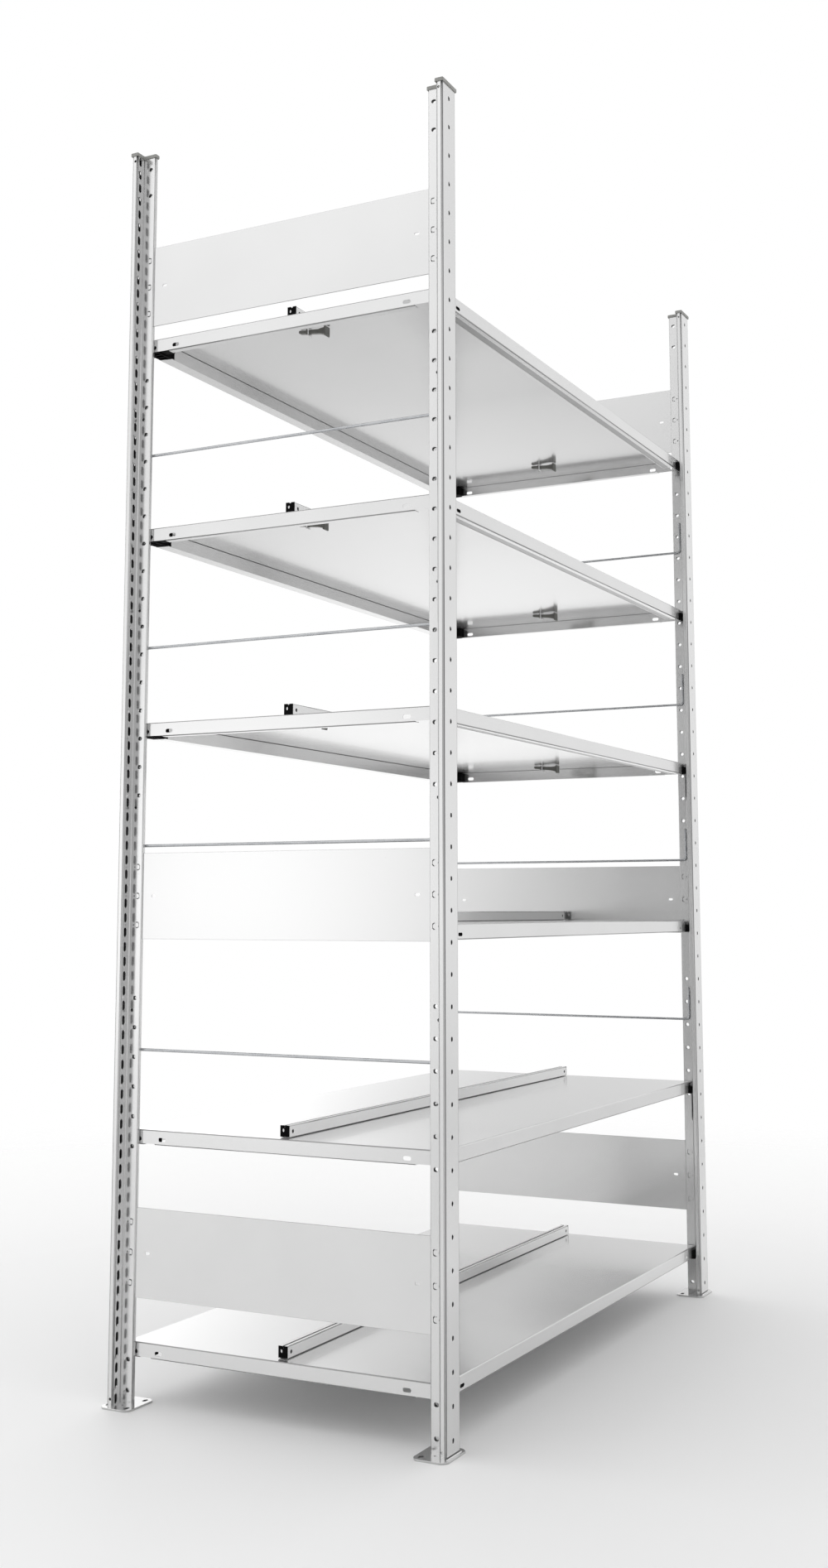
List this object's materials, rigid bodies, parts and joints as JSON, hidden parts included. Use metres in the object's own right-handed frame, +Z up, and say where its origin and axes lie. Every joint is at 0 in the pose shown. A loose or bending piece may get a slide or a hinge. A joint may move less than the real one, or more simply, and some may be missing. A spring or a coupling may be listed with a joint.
{
  "type": "office shelving unit",
  "caption": "Free-standing boltless steel shelving bay with T-section posts on foot plates, side panels and rods, and hook-on tray shelves with a divider rail along each.",
  "frame": {"origin": "on the floor at the middle of the bay", "axes": "+X along the shelves to the right, +Y from the front to the back, +Z up"},
  "size_m": [1.33, 0.646, 2.2028],
  "materials": {
    "painted_steel": "light grey powder coat, fine orange peel, satin",
    "rail_paint": "white powder coat, satin",
    "cap_plastic": "warm grey moulded plastic, matt",
    "black_plastic": "black moulded plastic, fine grain",
    "plated_steel": "bright zinc plate on drawn wire"
  },
  "bodies": {
    "frame": {"post_front_left": "painted_steel", "cap_front_left": "cap_plastic", "post_front_right": "painted_steel", "cap_front_right": "cap_plastic", "post_back_left": "painted_steel", "cap_back_left": "cap_plastic", "post_back_right": "painted_steel", "cap_back_right": "cap_plastic", "support_1_front_left": "black_plastic", "support_1_front_right": "black_plastic", "support_1_back_left": "black_plastic", "support_1_back_right": "black_plastic", "support_2_front_left": "black_plastic", "support_2_front_right": "black_plastic", "support_2_back_left": "black_plastic", "support_2_back_right": "black_plastic", "support_3_front_left": "black_plastic", "support_3_front_right": "black_plastic", "support_3_back_left": "black_plastic", "support_3_back_right": "black_plastic", "support_4_front_left": "black_plastic", "support_4_front_right": "black_plastic", "support_4_back_left": "black_plastic", "support_4_back_right": "black_plastic", "support_5_front_left": "black_plastic", "support_5_front_right": "black_plastic", "support_5_back_left": "black_plastic", "support_5_back_right": "black_plastic", "support_6_front_left": "black_plastic", "support_6_front_right": "black_plastic", "support_6_back_left": "black_plastic", "support_6_back_right": "black_plastic", "side_panel_left_top": "painted_steel", "side_panel_left_middle": "painted_steel", "side_panel_left_low": "painted_steel", "side_rod_left_2": "plated_steel", "side_rod_left_3": "plated_steel", "side_rod_left_4": "plated_steel", "side_rod_left_5": "plated_steel", "side_panel_right_top": "painted_steel", "side_panel_right_middle": "painted_steel", "side_panel_right_low": "painted_steel", "side_rod_right_2": "plated_steel", "side_rod_right_3": "plated_steel", "side_rod_right_4": "plated_steel", "side_rod_right_5": "plated_steel"},
    "lift_shelf_1": {"shelf_1": "painted_steel", "divider_rail_1": "rail_paint"},
    "lift_shelf_2": {"shelf_2": "painted_steel", "divider_rail_2": "rail_paint"},
    "lift_shelf_3": {"shelf_3": "painted_steel", "divider_rail_3": "rail_paint"},
    "lift_shelf_4": {"shelf_4": "painted_steel", "divider_rail_4": "rail_paint"},
    "lift_shelf_5": {"shelf_5": "painted_steel", "divider_rail_5": "rail_paint"},
    "lift_shelf_6": {"shelf_6": "painted_steel", "divider_rail_6": "rail_paint"}
  },
  "joints": [
    {"name": "shelf_1_lift", "type": "slide", "parent": "frame", "child": "lift_shelf_1", "axis": [0, 0, 1], "range_m": [0, 0.05]},
    {"name": "shelf_2_lift", "type": "slide", "parent": "frame", "child": "lift_shelf_2", "axis": [0, 0, 1], "range_m": [0, 0.05]},
    {"name": "shelf_3_lift", "type": "slide", "parent": "frame", "child": "lift_shelf_3", "axis": [0, 0, 1], "range_m": [0, 0.05]},
    {"name": "shelf_4_lift", "type": "slide", "parent": "frame", "child": "lift_shelf_4", "axis": [0, 0, 1], "range_m": [0, 0.05]},
    {"name": "shelf_5_lift", "type": "slide", "parent": "frame", "child": "lift_shelf_5", "axis": [0, 0, 1], "range_m": [0, 0.05]},
    {"name": "shelf_6_lift", "type": "slide", "parent": "frame", "child": "lift_shelf_6", "axis": [0, 0, 1], "range_m": [0, 0.05]}
  ]
}
